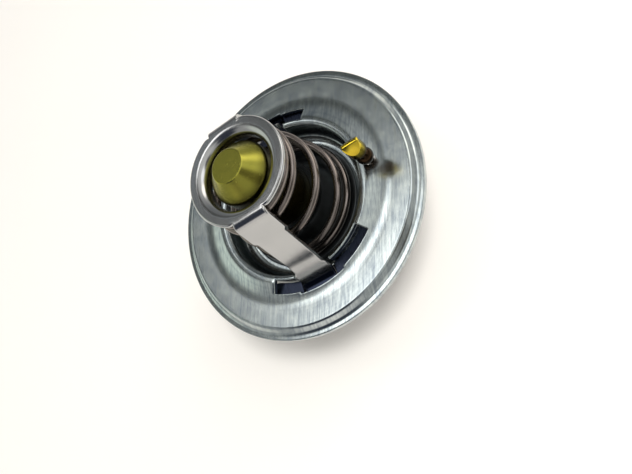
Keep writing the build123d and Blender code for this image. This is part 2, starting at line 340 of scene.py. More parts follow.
    def noise(
        self, tree: bpy.types.NodeTree, place: bpy.types.NodeSocket, stretch: tuple[float, float, float]
    ) -> bpy.types.NodeSocket:
        """Adds noise at the finish's pitch.

        Args:
            tree: The material's tree.
            place: Coordinates in metres.
            stretch: One number for each axis; the noise is drawn out where it is small.

        Returns:
            A socket with the noise, from 0 to 1.
        """
        scaled = add_node(
            tree,
            "ShaderNodeVectorMath",
            {"operation": "MULTIPLY"},
            {0: place, 1: Vector(stretch) / (self.pitch_mm * MM)},
        )
        texture = add_node(
            tree,
            "ShaderNodeTexNoise",
            inputs={"Vector": scaled.outputs[0], "Scale": 1.0, "Detail": 4.0, "Roughness": 0.6},
        )
        return texture.outputs["Fac"]

    @staticmethod
    def wire_place(tree: bpy.types.NodeTree) -> bpy.types.NodeSocket:
        """Finds a place round the wire and along it, from the spring's own attributes.

        Args:
            tree: The material's tree.

        Returns:
            A socket with the place in metres; its Y runs along the wire.
        """
        around = add_node(tree, "ShaderNodeAttribute", {"attribute_name": "around"})
        along = add_node(tree, "ShaderNodeAttribute", {"attribute_name": "along"})
        turned = add_node(
            tree, "ShaderNodeVectorMath", {"operation": "SCALE"}, {0: around.outputs["Vector"], "Scale": MM}
        )
        shift = add_node(tree, "ShaderNodeCombineXYZ", inputs={"Y": along.outputs["Fac"]})
        both = add_node(
            tree,
            "ShaderNodeVectorMath",
            {"operation": "ADD"},
            {0: turned.outputs[0], 1: shift.outputs[0]},
        )
        return both.outputs[0]

    @staticmethod
    def ring_place(tree: bpy.types.NodeTree, place: bpy.types.NodeSocket) -> bpy.types.NodeSocket:
        """Finds a place by its radius and its height, so that marks run in rings about the axis.

        Args:
            tree: The material's tree.
            place: Object coordinates, in metres.

        Returns:
            A socket with the radius as X and the height as Y.
        """
        split = add_node(tree, "ShaderNodeSeparateXYZ", inputs={0: place})
        flat = add_node(
            tree, "ShaderNodeCombineXYZ", inputs={"X": split.outputs["X"], "Y": split.outputs["Y"]}
        )
        radius = add_node(tree, "ShaderNodeVectorMath", {"operation": "LENGTH"}, {0: flat.outputs[0]})
        ring = add_node(
            tree,
            "ShaderNodeCombineXYZ",
            inputs={"X": radius.outputs["Value"], "Y": split.outputs["Z"]},
        )
        return ring.outputs[0]


# Bright zinc over rolled sheet: bluish, softly mottled, its straight grain drawn coarse enough to show
ROLLED_ZINC = Finish(
    name="rolled_zinc_plated_steel",
    pattern=Pattern.ROLLED_SHEET,
    colour="#D3DAD5",
    clouds="#88929A",
    roughness=0.185,
    roughness_spread=0.04,
    pitch_mm=0.5,
    depth_mm=0.0018,
    cloud_mm=2.6,
    marks_shade=0.3,
)
# Stainless strip, tumbled after folding: smooth, with soft reflections, and a navy painted shade on the
# hooks under the flange
TUMBLED_STRIP = Finish(
    name="tumbled_stainless_strip",
    pattern=Pattern.DRAWN_STRIP,
    colour="#BCBCBB",
    clouds="#ABABAB",
    roughness=0.185,
    roughness_spread=0.02,
    pitch_mm=0.3,
    depth_mm=0.00005,
    cloud_mm=5.0,
    painted_shade=PaintedShade("#2A2F3D", full_z_mm=0.1, clear_z_mm=0.9),
)
# Drawn spring wire: a warm oxide tint over steel, and die lines along it, drawn coarse enough to show
DRAWN_WIRE = Finish(
    name="drawn_spring_wire",
    pattern=Pattern.DRAWN_WIRE,
    colour="#8A817B",
    clouds="#6F6763",
    roughness=0.25,
    roughness_spread=0.06,
    pitch_mm=0.35,
    depth_mm=0.002,
    cloud_mm=3.0,
)
# Steel strip of the bridge, coloured nearly black and navy as painted shade, since it shows only in the
# shaded slots under the flange
SHADE_DARK_STRIP = Finish(
    name="steel_strip_painted_shade",
    pattern=Pattern.DRAWN_STRIP,
    colour="#3A4050",
    clouds="#2C303C",
    roughness=0.3,
    roughness_spread=0.06,
    pitch_mm=0.3,
    depth_mm=0.0015,
    cloud_mm=4.0,
)
# Stamped valve disc: rougher than the flange's zinc, and coloured dark grey as painted shade deep in the
# cup, with faint rings from the press
SHADED_STAMPED_ZINC = Finish(
    name="stamped_zinc_plated_steel_painted_shade",
    pattern=Pattern.TURNED,
    colour="#5F6365",
    clouds="#505456",
    roughness=0.36,
    roughness_spread=0.05,
    pitch_mm=0.4,
    depth_mm=0.0008,
    cloud_mm=4.0,
)
# Brass left raw and tumbled: a dull olive skin with a satin gloss, and painted shade low down, inside the
# spring and the frame's neck
RAW_BRASS = Finish(
    name="raw_tumbled_brass",
    pattern=Pattern.MOULDED,
    colour="#AFA848",
    clouds="#94933F",
    roughness=0.26,
    roughness_spread=0.015,
    pitch_mm=0.4,
    depth_mm=0.0003,
    cloud_mm=2.0,
    painted_shade=PaintedShade("#454020", full_z_mm=16.4, clear_z_mm=18.4),
)
# Bright brass wire, headed and pinched: sharp reflections, yellow at its tip, and a brown painted shade
# further down towards the flange
BRIGHT_BRASS = Finish(
    name="bright_headed_brass",
    pattern=Pattern.MOULDED,
    colour="#E6CB45",
    clouds="#C9AE30",
    roughness=0.16,
    roughness_spread=0.03,
    pitch_mm=0.5,
    depth_mm=0.004,
    cloud_mm=1.2,
    painted_shade=PaintedShade("#33261A", full_z_mm=5.6, clear_z_mm=8.5),
)
# Ground stainless piston: satin, with grinding rings drawn coarse enough to show
GROUND_STEEL = Finish(
    name="ground_stainless_steel",
    pattern=Pattern.TURNED,
    colour="#B5B6B6",
    clouds="#A7A8A9",
    roughness=0.22,
    roughness_spread=0.05,
    pitch_mm=0.2,
    depth_mm=0.0015,
    cloud_mm=4.0,
)
# Moulded nitrile rubber of the sleeve and the seal: black and matt
NITRILE = Finish(
    name="moulded_nitrile_rubber",
    pattern=Pattern.MOULDED,
    colour="#1B1B1C",
    clouds="#232324",
    roughness=0.6,
    roughness_spread=0.08,
    pitch_mm=0.4,
    depth_mm=0.006,
    cloud_mm=3.0,
    metallic=0.0,
)
# Sintered fluoropolymer of the washer: off-white and dull
FLUOROPOLYMER = Finish(
    name="sintered_fluoropolymer",
    pattern=Pattern.MOULDED,
    colour="#E4E2DC",
    clouds="#D8D6D0",
    roughness=0.45,
    roughness_spread=0.05,
    pitch_mm=0.5,
    depth_mm=0.003,
    cloud_mm=3.0,
    metallic=0.0,
)
# Cast wax filled with copper powder: reddish brown and a little grainy
COPPER_WAX = Finish(
    name="copper_filled_wax",
    pattern=Pattern.MOULDED,
    colour="#8A4F33",
    clouds="#6E3E28",
    roughness=0.5,
    roughness_spread=0.08,
    pitch_mm=0.25,
    depth_mm=0.006,
    cloud_mm=1.5,
    metallic=0.0,
)
# Matt white paper of the studio's floor
MATT_PAPER = Finish(
    name="matt_white_paper",
    pattern=Pattern.MOULDED,
    colour="#F6F3F0",
    clouds="#F3F0ED",
    roughness=0.85,
    roughness_spread=0.02,
    pitch_mm=0.6,
    depth_mm=0.001,
    cloud_mm=60.0,
    metallic=0.0,
)


def rounded_line(points: Sequence[tuple[float, float]], radii: Sequence[float], steps: int) -> Line:
    """Runs a line through points, with an arc at each inner corner.

    Args:
        points: Radius and height, or X and height, of each corner.
        radii: One radius for each inner corner; zero keeps it sharp.
        steps: Points on each arc beyond its first.

    Returns:
        The line's points, with a support point close to each arc's ends.
    """
    least_run = 3 * SUPPORT_MM
    corners = [Vector(p) for p in points]
    line = [corners[0]]
    for before, corner, after, radius in zip(corners, corners[1:], corners[2:], radii):
        to_start = (before - corner).normalized()
        to_end = (after - corner).normalized()
        opening = to_start.angle(to_end)
        if radius < AXIS_MM or opening > math.pi - STRAIGHT_RAD:
            line.append(corner)
            continue
        tangent = radius / math.tan(opening / 2)
        centre = corner + (to_start + to_end).normalized() * radius / math.sin(opening / 2)
        start = corner + to_start * tangent - centre
        sweep = start.angle_signed(corner + to_end * tangent - centre)
        if (line[-1] - centre - start).length > least_run:
            line.append(centre + start + to_start * SUPPORT_MM)
        for step in range(steps + 1):
            line.append(centre + Matrix.Rotation(-sweep * step / steps, 2) @ start)
        if (after - line[-1]).length > least_run:
            line.append(line[-1] + to_end * SUPPORT_MM)
    line.append(corners[-1])
    return line


def sheet_lines(
    points: Sequence[tuple[float, float]], radii: Sequence[float], thickness: float, steps: int
) -> tuple[Line, Line]:
    """Face line and back line of a formed sheet, with bends that share their centres.

    Args:
        points: Corners of the face line.
        radii: Bend radius of the face at each inner corner.
        thickness: The sheet, laid on the left of the line, or on its right if negative.
        steps: Points on each bend beyond its first.

    Returns:
        The face line and the back line.
    """
    face = [Vector(p) for p in points]
    runs = [(b - a).normalized() for a, b in zip(face, face[1:])]
    lefts = [Vector((-run.y, run.x)) for run in runs]
    shifts = [lefts[0], *((a + b) / (1 + a.dot(b)) for a, b in zip(lefts, lefts[1:])), lefts[-1]]
    back = [point + shift * thickness for point, shift in zip(face, shifts)]
    turns = [1 if a.x * b.y - a.y * b.x > 0 else -1 for a, b in zip(runs, runs[1:])]
    back_radii = [max(radius - turn * thickness, 0) for radius, turn in zip(radii, turns)]
    return rounded_line(face, radii, steps), rounded_line(back, back_radii, steps)


def cut_line(line: Line, axis: int, value: float) -> tuple[Line, Line]:
    """Cuts a line where one coordinate first passes a value.

    Args:
        line: Points in order.
        axis: 0 for the radius or X, 1 for the height.
        value: Where to cut.

    Returns:
        The part before the cut and the part after it, both with the point of the cut.
    """
    for i, (a, b) in enumerate(zip(line, line[1:])):
        if (a[axis] - value) * (b[axis] - value) <= 0 and abs(b[axis] - a[axis]) > AXIS_MM:
            point = a.lerp(b, (value - a[axis]) / (b[axis] - a[axis]))
            return [*line[: i + 1], point], [point, *line[i + 1 :]]
    raise ValueError(f"the line never passes {value}")


def resample(line: Line, count: int) -> Line:
    """Spreads points evenly along a line.

    Args:
        line: Points in order.
        count: How many steps to divide it into.

    Returns:
        The points, from one end to the other.
    """
    lengths = [(b - a).length for a, b in zip(line, line[1:])]
    whole = sum(lengths)
    points = [line[0]]
    for step in range(1, count):
        rest = whole * step / count
        for a, b, length in zip(line, line[1:], lengths):
            if rest <= length:
                points.append(a.lerp(b, rest / length))
                break
            rest -= length
    points.append(line[-1])
    return points


def paired(face: Line, back: Line, count: int) -> Pairs:
    """Spreads points along both lines of a sheet and pairs them.

    Args:
        face: The face line.
        back: The back line.
        count: How many steps to divide each line into.

    Returns:
        The pairs, from one end to the other.
    """
    return list(zip(resample(face, count), resample(back, count)))


def at_angle(point: Vector, degrees: float) -> Vector:
    """Turns a radius and height about the axis, by an angle from +X."""
    turn = math.radians(degrees)
    return Vector((point.x * math.cos(turn), point.x * math.sin(turn), point.y))


def finish_mesh(bm: bmesh.types.BMesh, name: str, finish: Finish) -> bpy.types.Object:
    """Welds a mesh, points its faces outwards, scales it to metres and makes its object.

    Args:
        bm: The mesh in millimetres; it is freed.
        name: The piece's name.
        finish: The finish that dresses it.

    Returns:
        The object, at the origin.
    """
    bmesh.ops.remove_doubles(bm, verts=bm.verts, dist=WELD_MM)
    bmesh.ops.recalc_face_normals(bm, faces=bm.faces)
    bmesh.ops.scale(bm, vec=(MM, MM, MM), verts=bm.verts)
    for face in bm.faces:
        face.smooth = True
    mesh = bpy.data.meshes.new(name)
    bm.to_mesh(mesh)
    bm.free()
    piece = bpy.data.objects.new(name, mesh)
    bpy.context.scene.collection.objects.link(piece)
    mesh.materials.append(finish.material())
    return piece


def settle(piece: bpy.types.Object, sharp_degrees: float = 35.0) -> bpy.types.Object:
    """Turns a piece with modifiers into a plain mesh with its sharp edges marked.

    Args:
        piece: The piece; its modifiers are removed.
        sharp_degrees: Edges that turn more than this stay sharp.

    Returns:
        The same piece.
    """
    bpy.context.view_layer.update()
    graph = bpy.context.evaluated_depsgraph_get()
    plain = bpy.data.meshes.new_from_object(piece.evaluated_get(graph), depsgraph=graph)
    piece.modifiers.clear()
    piece.data = plain
    plain.set_sharp_from_angle(angle=math.radians(sharp_degrees))
    return piece


def turned_mesh(section: Line, segments: int) -> bmesh.types.BMesh:
    """Turns a closed section about the axis.

    Args:
        section: Radius and height of each point, round the section.
        segments: Steps round the axis.

    Returns:
        The closed mesh.
    """
    bm = bmesh.new()
    rings = []
    for point in section:
        steps = 1 if point.x < AXIS_MM else segments
        rings.append([bm.verts.new(at_angle(point, 360 * i / segments)) for i in range(steps)])
    for low, high in zip(rings, rings[1:] + rings[:1]):
        if len(low) == len(high) == 1:
            continue
        for i in range(segments):
            j = (i + 1) % segments
            corners = [low[i % len(low)], low[j % len(low)], high[j % len(high)], high[i % len(high)]]
            bm.faces.new(list(dict.fromkeys(corners)))
    return bm


class SheetShell:
    """A formed sheet, built as a face and a back of one layout and closed along every free edge."""

    def __init__(self) -> None:
        """Starts an empty sheet."""
        self.bm = bmesh.new()
        self.weight = self.bm.edges.layers.float.new("bevel_weight_edge")
        self.partner: dict[bmesh.types.BMVert, bmesh.types.BMVert] = {}
        self.known: dict[tuple[float, float, float], bmesh.types.BMVert] = {}

    def corner(self, face: Vector, back: Vector) -> bmesh.types.BMVert:
        """Adds a point of the face with its partner on the back, or finds the one that is there.

        Args:
            face: Where the point lies on the face.
            back: Where its partner lies on the back.

        Returns:
            The point of the face.
        """
        key = tuple(round(c, KEY_DIGITS) for c in face)
        if key not in self.known:
            vert = self.bm.verts.new(face)
            self.known[key] = vert
            self.partner[vert] = self.bm.verts.new(back)
        return self.known[key]

    def patch(
        self,
        rows: list[list[bmesh.types.BMVert]],
        solid: Callable[[int, int], bool] | None = None,
    ) -> None:
        """Fills a grid of corners with faces.

        Args:
            rows: Corners, row by row.
            solid: Says of a cell's row and column whether it is there; every cell is, if it is left out.
        """
        for r, (low, high) in enumerate(zip(rows, rows[1:])):
            for c in range(len(low) - 1):
                if solid is not None and not solid(r, c):
                    continue
                ring = list(dict.fromkeys([low[c], low[c + 1], high[c + 1], high[c]]))
                if len(ring) > 2:
                    self.bm.faces.new(ring)

    def close(self, rounding: Callable[[Vector], float]) -> bmesh.types.BMesh:
        """Adds the back and the walls along the free edges.

        Args:
            rounding: Gives the bevel weight of a free edge from the middle of its wall.

        Returns:
            The closed mesh, with bevel weights on its edges.
        """
        fronts = list(self.bm.faces)
        free = [edge for edge in self.bm.edges if len(edge.link_faces) == 1]
        for face in fronts:
            self.bm.faces.new([self.partner[vert] for vert in reversed(face.verts)])
        for edge in free:
            a, b = edge.verts
            wall = self.bm.faces.new([b, a, self.partner[a], self.partner[b]])
            share = rounding(wall.calc_center_median())
            for side in (edge, self.bm.edges.get((self.partner[a], self.partner[b]))):
                side[self.weight] = share
        return self.bm


def round_edges(piece: bpy.types.Object, width_mm: float, segments: int) -> bpy.types.Object:
    """Rounds a piece's weighted edges and settles its mesh.

    Args:
        piece: The piece, with bevel weights on its edges.
        width_mm: Width of the rounding where the weight is one.
        segments: Steps across it.

    Returns:
        The same piece, with no modifier left.
    """
    bevel = piece.modifiers.new("rounded_edges", "BEVEL")
    bevel.limit_method = "WEIGHT"
    bevel.width = width_mm * MM
    bevel.segments = segments
    bevel.use_clamp_overlap = False
    bevel.harden_normals = False
    return settle(piece)


@dataclass
class Flange:
    """The stamped flange: rim, step, dish, lip and cup, with two arc slots and the legs' notches."""

    outer_r: float = 27.0
    rim_inner_r: float = 25.9
    ridge_r: float = 24.9
    ridge_z: float = 1.1
    dish_r: float = 19.4
    dish_z: float = 0.8
    lip_r: float = 16.7
    lip_z: float = 1.75
    cup_r: float = 14.9
    cup_draft: float = 0.1
    seat_r: float = 11.0
    seat_z: float = -3.5
    sheet: float = 1.0
    bends: tuple[float, ...] = (0.8, 0.5, 9.0, 2.2, 0.8, 2.0)
    slot_inner_r: float = 16.05
    slot_outer_r: float = 18.5
    slot_wide_r: float = 18.85
    slot_angles: tuple[float, float] = (-29.5, 42.5)
    slot_wide_angles: tuple[float, float] = (-12.0, 18.0)
    notch_angle: float = 14.2
    notch_foot_z: float = -1.55
    pin_hole_r: float = 1.1
    pin_circle_r: float = 17.75
    pin_angle: float = 84.0
    column_step: float = 2.0
    column_room: float = 1.1
    slot_rounding: float = 0.2
    rim_rounding: float = 0.1
    rounding_segments: int = 3
    edge_room: float = 1.3
    bend_steps: int = 10
    band_steps: tuple[int, ...] = (60, 1, 16, 22, 40)
    hole_segments: int = 48
    drill_sheets: int = 6

    def bands(self) -> list[Pairs]:
        """Face and back points of each ring of the flange, from the rim inwards.

        Returns:
            One list for each band, cut where a slot or a notch has an edge.
        """
        points = [
            (self.outer_r, 0.0),
            (self.rim_inner_r, 0.0),
            (self.ridge_r, self.ridge_z),
            (self.dish_r, self.dish_z),
            (self.lip_r, self.lip_z),
            (self.cup_r + self.cup_draft, self.lip_z),
            (self.cup_r, self.seat_z),
            (self.seat_r, self.seat_z),
        ]
        face, back = sheet_lines(points, self.bends, self.sheet, self.bend_steps)
        cuts = (
            (0, self.slot_wide_r),
            (0, self.slot_outer_r),
            (0, self.slot_inner_r),
            (1, self.notch_foot_z),
        )
        bands = []
        for (axis, value), count in zip(cuts, self.band_steps):
            face_part, face = cut_line(face, axis, value)
            back_part, back = cut_line(back, axis, value)
            bands.append(self.clear_ends(paired(face_part, back_part, count)))
        bands.append(self.clear_ends(paired(face, back, self.band_steps[-1])))
        return bands

    def clear_ends(self, pairs: Pairs) -> Pairs:
        """Leaves out the points that lie in the way of the rounded edge at either end of a band.

        Args:
            pairs: Face and back points across the band.

        Returns:
            The pairs that stay, with both ends.
        """
        room = self.edge_room * self.slot_rounding
        first, last = pairs[0][0], pairs[-1][0]
        inner = [p for p in pairs[1:-1] if min((p[0] - first).length, (p[0] - last).length) > room]
        return [pairs[0], *inner, pairs[-1]]

    def rounding(self, place: Vector) -> float:
        """Bevel weight: the punch rolled the slots' edges over more than the trimming did the rim's."""
        at_slot = self.cup_r < place.xy.length < self.rim_inner_r
        return 1.0 if at_slot else self.rim_rounding / self.slot_rounding

    def columns(self) -> list[float]:
        """Finds the angles of the grid, with one on every edge of a slot or a notch.

        Returns:
            Degrees from +X, in order.
        """
        edges = [*self.slot_angles, *self.slot_wide_angles, -self.notch_angle, self.notch_angle]
        edges = [(edge + turn) % 360 for edge in edges for turn in (0, 180)]
        steps = round(360 / self.column_step)
        plain = [i * self.column_step for i in range(steps)]
        kept = [a for a in plain if all(abs((a - e + 180) % 360 - 180) > self.column_room for e in edges)]
        return sorted(kept + edges)

    def is_open(self, band: int, angle: float) -> bool:
        """Says whether a slot or a notch takes out a band at an angle.

        Args:
            band: Number of the band, counted from 0 at the rim.
            angle: Degrees from +X.

        Returns:
            True where there is no sheet.
        """
        turned = (angle + 90) % 180 - 90
        spans = {1: self.slot_wide_angles, 2: self.slot_angles, 3: (-self.notch_angle, self.notch_angle)}
        low, high = spans.get(band, (0.0, 0.0))
        return low < turned < high

    def build(self) -> bpy.types.Object:
        """Builds the flange with its edges rounded and the jiggle pin's hole cut.

        Returns:
            The finished piece.
        """
        columns = self.columns()
        ring = columns + [columns[0]]
        middles = [(a + ((b - a) % 360) / 2) for a, b in zip(ring, ring[1:])]
        shell = SheetShell()
        for band, pairs in enumerate(self.bands()):
            rows = [[shell.corner(at_angle(f, a), at_angle(b, a)) for a in ring] for f, b in pairs]
            shell.patch(rows, lambda _row, column, band=band: not self.is_open(band, middles[column]))
        piece = finish_mesh(shell.close(self.rounding), "flange_sheet", ROLLED_ZINC)
        round_edges(piece, self.slot_rounding, self.rounding_segments)
        return self.drill(piece)

    def drill(self, piece: bpy.types.Object) -> bpy.types.Object:
        """Cuts the hole of the jiggle pin.

        Args:
            piece: The flange.

        Returns:
            The same piece, with its hole.
        """
        bm = bmesh.new()
        centre = at_angle(Vector((self.pin_circle_r, 0.0)), self.pin_angle) * MM
        bmesh.ops.create_cone(
            bm,
            cap_ends=True,
            segments=self.hole_segments,
            radius1=self.pin_hole_r * MM,
            radius2=self.pin_hole_r * MM,
            depth=self.drill_sheets * self.sheet * MM,
            matrix=Matrix.Translation(centre),
        )
        mesh = bpy.data.meshes.new("pin_hole_cutter")
        bm.to_mesh(mesh)
        bm.free()
        cutter = bpy.data.objects.new("pin_hole_cutter", mesh)
        bpy.context.scene.collection.objects.link(cutter)
        cut = piece.modifiers.new("pin_hole", "BOOLEAN")
        cut.operation = "DIFFERENCE"
        cut.solver = "EXACT"
        cut.object = cutter
        settle(piece)
        bpy.data.objects.remove(cutter)
        return piece


@dataclass
class SpringFrame:
    """The spring frame: a ring with a turned-down neck, and two folded legs that hook under the flange."""

    neck_r: float = 6.8
    neck_length: float = 2.6
    neck_bend: float = 1.8
    ring_r: float = 10.0
    ring_z: float = 18.2
    sheet: float = 1.0
    leg_width: float = 6.8
    leg_waist: float = 5.8
    waist_z: tuple[float, float] = (2.4, 13.2)
    leg_root_x: float = 10.1
    leg_foot_x: float = 16.2
    leg_bend: float = 1.4
    hook_z: float = -0.25
    hook_tip_x: float = 19.5
    hook_bend: float = 1.5
    flare_z: float = 4.4
    flare_reach: float = 0.85
    flare_bend: float = 9.0
    hook_corner: float = 0.9
    ring_rounding: float = 0.42
    leg_rounding: float = 0.16
    rounding_segments: int = 4
    rim_sheets: float = 1.5
    rim_support: float = 0.06
    column_step: float = 2.5
    shoulder_angle: float = 5.0
    neck_bend_steps: int = 12
    neck_steps: int = 22
    leg_lap: float = 0.5
    leg_bend_steps: int = 14
    leg_steps: int = 100
    leg_columns: int = 14

    @property
    def bend_x(self) -> float:
        """X where the ring's flat ends and a leg's bend begins."""
        lean = math.atan2(self.ring_z - self.hook_z, self.leg_foot_x - self.leg_root_x)
        return self.leg_root_x - self.leg_bend * math.tan(lean / 2)

    @property
    def flare_x(self) -> float:
        """X where a leg's foot begins to lean further out."""
        share = (self.ring_z - self.flare_z) / (self.ring_z - self.hook_z)
        return self.leg_root_x + share * (self.leg_foot_x - self.leg_root_x)

    @property
    def leg_angle(self) -> float:
        """Half the angle that a leg takes up on the ring, in degrees."""
        return math.degrees(math.atan2(self.leg_width / 2, self.bend_x))

    def leg_angles(self) -> list[float]:
        """Finds the angles of a leg's columns, evenly spaced across its width.

        Returns:
            Degrees from the leg's middle.
        """
        across = [(i / self.leg_columns - 0.5) * self.leg_width for i in range(self.leg_columns + 1)]
        return [math.degrees(math.atan2(y, self.bend_x)) for y in across]

    def columns(self) -> list[float]:
        """Finds the angles of the ring's columns, from one leg's edge all the way round.

        Returns:
            Degrees from +X.
        """
        span = 180 - 2 * self.leg_angle
        steps = round(span / self.column_step)
        between = [self.leg_angle + span * i / steps for i in range(1, steps)]
        half = [*self.leg_angles(), *between]
        return half + [angle + 180 for angle in half]

    def reach(self, angle: float) -> float:
        """Radius of the ring's edge: round, but cut straight at each leg, with a short shoulder.

        Args:
            angle: Degrees from +X.

        Returns:
            The radius in millimetres.
        """
        turned = abs((angle + 90) % 180 - 90)
        if turned <= self.leg_angle + SAME_DEGREES:
            return self.bend_x / math.cos(math.radians(turned))
        corner = self.bend_x / math.cos(math.radians(self.leg_angle))
        share = min((turned - self.leg_angle) / self.shoulder_angle, 1.0)
        return corner + (self.ring_r - corner) * math.sin(share * math.pi / 2)

    def ring_rows(self, angle: float) -> Pairs:
        """Face and back points of the ring at one angle, from the neck's mouth outwards.

        Args:
            angle: Degrees from +X.

        Returns:
            One pair for each row of the ring.
        """
        points = [
            (self.neck_r, self.ring_z - self.neck_length),
            (self.neck_r, self.ring_z),
            (self.ring_r, self.ring_z),
        ]
        face, back = sheet_lines(points, [self.neck_bend], -self.sheet, self.neck_bend_steps)
        flat_r = self.neck_r + self.neck_bend
        face_part, _ = cut_line(face, 0, flat_r)
        back_part, _ = cut_line(back, 0, flat_r)
        pairs = paired(face_part, back_part, self.neck_steps)
        edge = self.reach(angle)
        support = self.ring_rounding + self.rim_support
        for radius in (flat_r + SUPPORT_MM, edge - support, edge):
            top = Vector((radius, self.ring_z))
            pairs.append((top, top - Vector((0, self.sheet))))
        return pairs

    def half_width(self, point: Vector) -> float:
        """Half the strip's width at a point of its side view, with its waist and its round corners.

        Args:
            point: X and height of the point.

        Returns:
            The half width in millimetres.
        """
        depth = (self.leg_width - self.leg_waist) / 2
        low, high = self.waist_z
        inside = min(point.y - low, high - point.y) / depth
        half = self.leg_width / 2 - depth * min(max(inside, 0.0), 1.0)
        from_tip = self.hook_tip_x - point.x
        if from_tip < self.hook_corner:
            rest = self.hook_corner - from_tip
            half -= self.hook_corner - math.sqrt(max(self.hook_corner**2 - rest**2, 0.0))
        return half

    def leg_lines(self) -> Pairs:
        """Side view of a leg, from the ring to the hook's tip.

        Returns:
            Outer and inner points, X and height, in pairs.
        """
        points = [
            (self.bend_x - self.leg_lap, self.ring_z),
            (self.leg_root_x, self.ring_z),
            (self.flare_x, self.flare_z),
            (self.leg_foot_x + self.flare_reach, self.hook_z),
            (self.hook_tip_x, self.hook_z),
        ]
        bends = [self.leg_bend, self.flare_bend, self.hook_bend]
        face, back = sheet_lines(points, bends, -self.sheet, self.leg_bend_steps)
        _, face = cut_line(face, 0, self.bend_x)
        _, back = cut_line(back, 0, self.bend_x)
        return paired(face, back, self.leg_steps)

    def rounding(self, place: Vector) -> float:
        """Bevel weight: the ring's rim is rolled round, the legs are only deburred."""
        on_ring = place.z > self.ring_z - self.rim_sheets * self.sheet and abs(place.y) > self.leg_width / 2
        return 1.0 if on_ring else self.leg_rounding / self.ring_rounding

    def build(self) -> bpy.types.Object:
        """Builds the ring and both legs as one sheet.

        Returns:
            The finished piece.
        """
        shell = SheetShell()
        columns = self.columns()
        ring = columns + [columns[0] + 360]
        grid = [[shell.corner(at_angle(f, a), at_angle(b, a)) for f, b in self.ring_rows(a)] for a in ring]
        shell.patch(grid)
        across = [2 * i / self.leg_columns - 1 for i in range(self.leg_columns + 1)]
        for side in (1, -1):
            rows = []
            for face, back in self.leg_lines():
                half = self.half_width(face)
                rows.append(
                    [
                        shell.corner(
                            Vector((side * face.x, side * half * share, face.y)),
                            Vector((side * back.x, side * half * share, back.y)),
                        )
                        for share in across
                    ]
                )
            shell.patch(rows)
        piece = finish_mesh(shell.close(self.rounding), "spring_frame_strip", TUMBLED_STRIP)
        return round_edges(piece, self.ring_rounding, self.rounding_segments)


